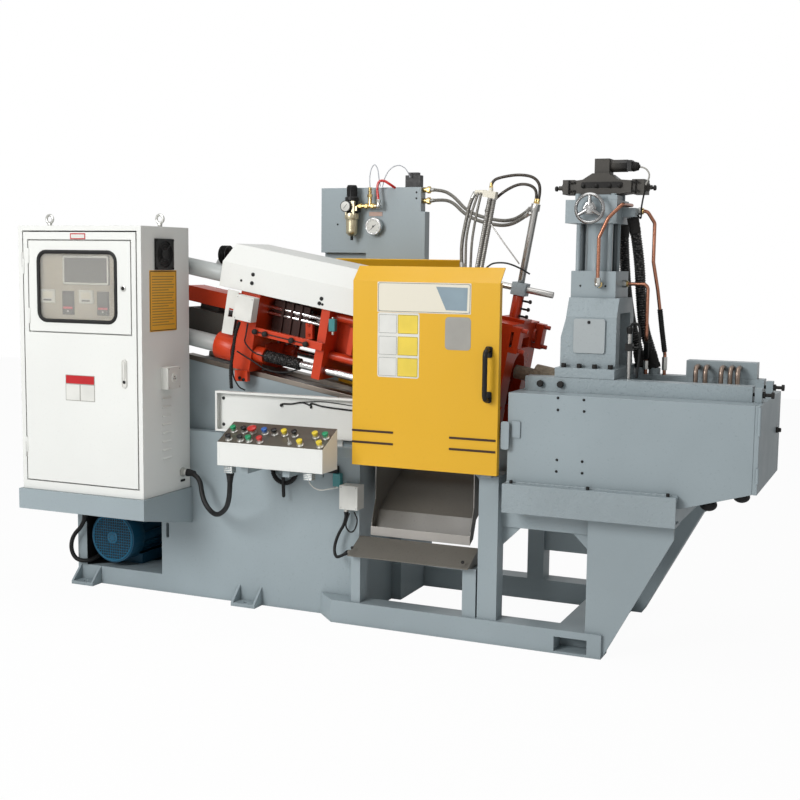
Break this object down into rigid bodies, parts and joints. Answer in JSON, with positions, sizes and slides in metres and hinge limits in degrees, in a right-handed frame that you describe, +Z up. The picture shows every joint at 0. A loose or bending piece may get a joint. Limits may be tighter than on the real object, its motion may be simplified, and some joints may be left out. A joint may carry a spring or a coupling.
{
  "type": "die casting machine",
  "caption": "Hot chamber die casting machine with a sloping clamp, electrical cabinet, control box, sliding guard, furnace and injection cylinder.",
  "frame": {"origin": "on the floor under the bed, on the centre plane of the clamp and furnace", "axes": "+X along the machine from the cabinet to the furnace, +Y from the operator's side to the back, +Z up"},
  "size_m": [2.8653, 1.059, 1.766],
  "materials": {
    "cabinet_paint": "white powder coat",
    "machine_paint": "blue-grey enamel, semi gloss",
    "orange_paint": "orange-red enamel, gloss",
    "guard_paint": "yellow powder coat",
    "motor_blue": "blue enamel",
    "button_mix": "coloured buttons",
    "steel_ground": "ground steel",
    "slide_steel": "oiled ground steel",
    "chrome": "hard chrome",
    "stainless": "brushed stainless sheet",
    "cast_grey": "painted casting",
    "dark_iron": "dark casting",
    "copper": "drawn copper",
    "rubber_black": "black hose",
    "cable_black": "black cable",
    "braid": "braided hose",
    "glass": "clear pane",
    "plastic_white": "white plastic",
    "plastic_black": "black plastic",
    "cloth_wrap": "heat wrap"
  },
  "bodies": {
    "machine": {"a_frame": "machine_paint", "air_unit": "plastic_black", "bed": "machine_paint", "bed_feet": "machine_paint", "box_cable": "cable_black", "braided_hoses": "braid", "cabinet": "cabinet_paint", "cabinet_cable": "cable_black", "cabinet_fittings": "plastic_white", "cabinet_shelf": "machine_paint", "chute": "stainless", "clamp_cylinder": "orange_paint", "control_arms": "machine_paint", "control_box": "cabinet_paint", "copper_pipes": "copper", "crucible": "dark_iron", "drop_plate": "slide_steel", "fixed_platen": "orange_paint", "frame_front": "machine_paint", "frame_rear": "machine_paint", "frame_ties": "machine_paint", "furnace_box": "machine_paint", "furnace_ledge": "machine_paint", "guard_rails": "machine_paint", "heater_box": "stainless", "hydraulic_hoses": "rubber_black", "hydraulic_valves": "dark_iron", "injection_column": "machine_paint", "junction_boxes": "plastic_white", "loop_hoses": "rubber_black", "motor_cable": "cable_black", "nozzle": "cloth_wrap", "plunger_rod": "steel_ground", "pump_motor": "motor_blue", "push_buttons": "button_mix", "rear_box": "machine_paint", "rear_guard": "guard_paint", "shot_cylinder": "machine_paint", "slide_strips": "slide_steel", "slideway": "machine_paint", "spray_pipe": "chrome", "spray_socket": "cast_grey", "tail_plate": "orange_paint", "tie_bar_sleeves": "cast_grey", "tie_bars": "chrome", "top_cover": "cabinet_paint", "tray": "cabinet_paint"},
    "moving_platen": {"moving_platen": "orange_paint", "clamp_ram": "chrome", "stop_bar": "orange_paint"},
    "front_guard": {"front_guard": "guard_paint", "guard_window": "plastic_white", "guard_handle": "plastic_black"},
    "cabinet_door": {"cabinet_door": "cabinet_paint", "instrument_panel": "cabinet_paint"},
    "window_door": {"window_door": "cabinet_paint", "window_glass": "glass"},
    "furnace_door": {"furnace_door": "machine_paint"},
    "handwheel": {"handwheel": "chrome"}
  },
  "joints": [
    {"name": "platen_slide", "type": "slide", "parent": "machine", "child": "moving_platen", "axis": [0.9848, 0, -0.1736], "range_m": [0, 0.2]},
    {"name": "guard_slide", "type": "slide", "parent": "machine", "child": "front_guard", "axis": [-1, 0, 0], "range_m": [0, 0.47]},
    {"name": "cabinet_door_hinge", "type": "hinge", "parent": "machine", "child": "cabinet_door", "pos_m": [-0.657, -0.5023, 0.98], "axis": [0, 0, -1], "range_deg": [0, 110]},
    {"name": "window_door_hinge", "type": "hinge", "parent": "cabinet_door", "child": "window_door", "pos_m": [-0.632, -0.5023, 1.277], "axis": [0, 0, -1], "range_deg": [0, 100]},
    {"name": "furnace_door_hinge", "type": "hinge", "parent": "machine", "child": "furnace_door", "pos_m": [2.1713, -0.281, 0.785], "axis": [0, 0, -1], "range_deg": [0, 120]},
    {"name": "handwheel_turn", "type": "hinge", "parent": "machine", "child": "handwheel", "pos_m": [1.535, -0.118, 1.586], "axis": [0, 1, 0], "continuous": true}
  ]
}
